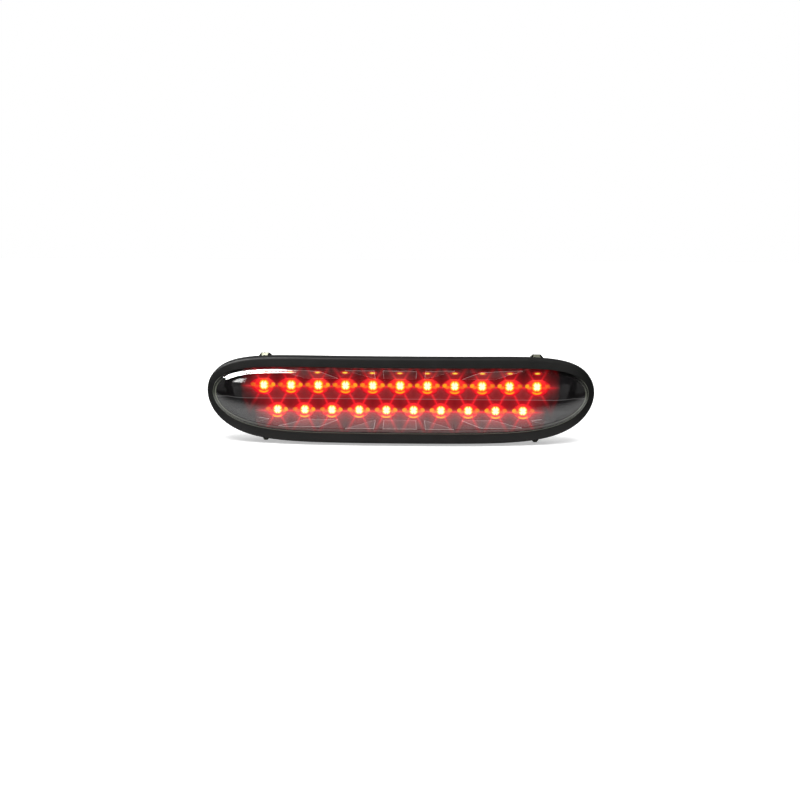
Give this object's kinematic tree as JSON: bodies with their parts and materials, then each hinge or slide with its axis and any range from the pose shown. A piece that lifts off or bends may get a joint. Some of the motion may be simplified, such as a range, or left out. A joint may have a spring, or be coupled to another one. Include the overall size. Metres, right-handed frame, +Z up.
{
  "type": "third brake light",
  "caption": "High-mounted brake light: clear domed lens over a black two-ridge tray with rows of red lamps in eye-shaped cups, rubber frame, spring clips and a rear two-pin socket.",
  "frame": {"origin": "centre of the panel aperture, in the plane where the rubber frame seats at mid width", "axes": "-Y out of the lens, +X to the viewer's right along the lamp, +Z up"},
  "size_m": [0.214, 0.043, 0.0489],
  "materials": {
    "clear_lens": "clear moulded acrylic, polished",
    "rubber": "matt moulded rubber",
    "sealant": "cured sealant",
    "black_plastic": "fine moulded grain",
    "gloss_black": "gloss black, lamp cups bright",
    "solder_mask": "green solder mask",
    "led_red": "clear red epoxy, lit",
    "screw_steel": "zinc plated",
    "chip_black": "printed resistor body",
    "diode_black": "moulded epoxy",
    "socket_plastic": "glass-filled nylon",
    "tinned_brass": "tinned",
    "zinc_steel": "yellow-grey zinc passivate",
    "vent_grey": "moulded, matt"
  },
  "bodies": {
    "lamp": {"outer_lens": "clear_lens", "rubber_frame": "rubber", "lens_seal": "sealant", "housing": "black_plastic", "bezel": "gloss_black", "circuit_board": "solder_mask", "connector_socket": "socket_plastic", "terminal_left": "tinned_brass", "terminal_right": "tinned_brass", "reverse_diode": "diode_black", "vent_cap": "vent_grey", "led_upper_01": "led_red", "led_upper_02": "led_red", "led_upper_03": "led_red", "led_upper_04": "led_red", "led_upper_05": "led_red", "led_upper_06": "led_red", "led_upper_07": "led_red", "led_upper_08": "led_red", "led_upper_09": "led_red", "led_upper_10": "led_red", "led_upper_11": "led_red", "led_lower_01": "led_red", "led_lower_02": "led_red", "led_lower_03": "led_red", "led_lower_04": "led_red", "led_lower_05": "led_red", "led_lower_06": "led_red", "led_lower_07": "led_red", "led_lower_08": "led_red", "led_lower_09": "led_red", "led_lower_10": "led_red", "series_resistor_1": "chip_black", "series_resistor_2": "chip_black", "series_resistor_3": "chip_black", "series_resistor_4": "chip_black", "series_resistor_5": "chip_black", "series_resistor_6": "chip_black", "series_resistor_7": "chip_black", "board_screw_1": "screw_steel", "board_screw_2": "screw_steel", "board_screw_3": "screw_steel", "board_screw_4": "screw_steel"},
    "clip_top_left": {"clip_top_left": "zinc_steel"},
    "clip_top_right": {"clip_top_right": "zinc_steel"},
    "clip_bottom_left": {"clip_bottom_left": "zinc_steel"},
    "clip_bottom_right": {"clip_bottom_right": "zinc_steel"}
  },
  "joints": [
    {"name": "clip_top_left_flex", "type": "hinge", "parent": "lamp", "child": "clip_top_left", "pos_m": [-0.075, 0.0173, 0.01912], "axis": [1, 0, 0], "range_deg": [0, 14], "stiffness_Nm_per_rad": 0.5},
    {"name": "clip_top_right_flex", "type": "hinge", "parent": "lamp", "child": "clip_top_right", "pos_m": [0.075, 0.0173, 0.01912], "axis": [1, 0, 0], "range_deg": [0, 14], "stiffness_Nm_per_rad": 0.5},
    {"name": "clip_bottom_left_flex", "type": "hinge", "parent": "lamp", "child": "clip_bottom_left", "pos_m": [-0.075, 0.0173, -0.01794], "axis": [-1, 0, 0], "range_deg": [0, 14], "stiffness_Nm_per_rad": 0.5},
    {"name": "clip_bottom_right_flex", "type": "hinge", "parent": "lamp", "child": "clip_bottom_right", "pos_m": [0.075, 0.0173, -0.01794], "axis": [-1, 0, 0], "range_deg": [0, 14], "stiffness_Nm_per_rad": 0.5}
  ]
}
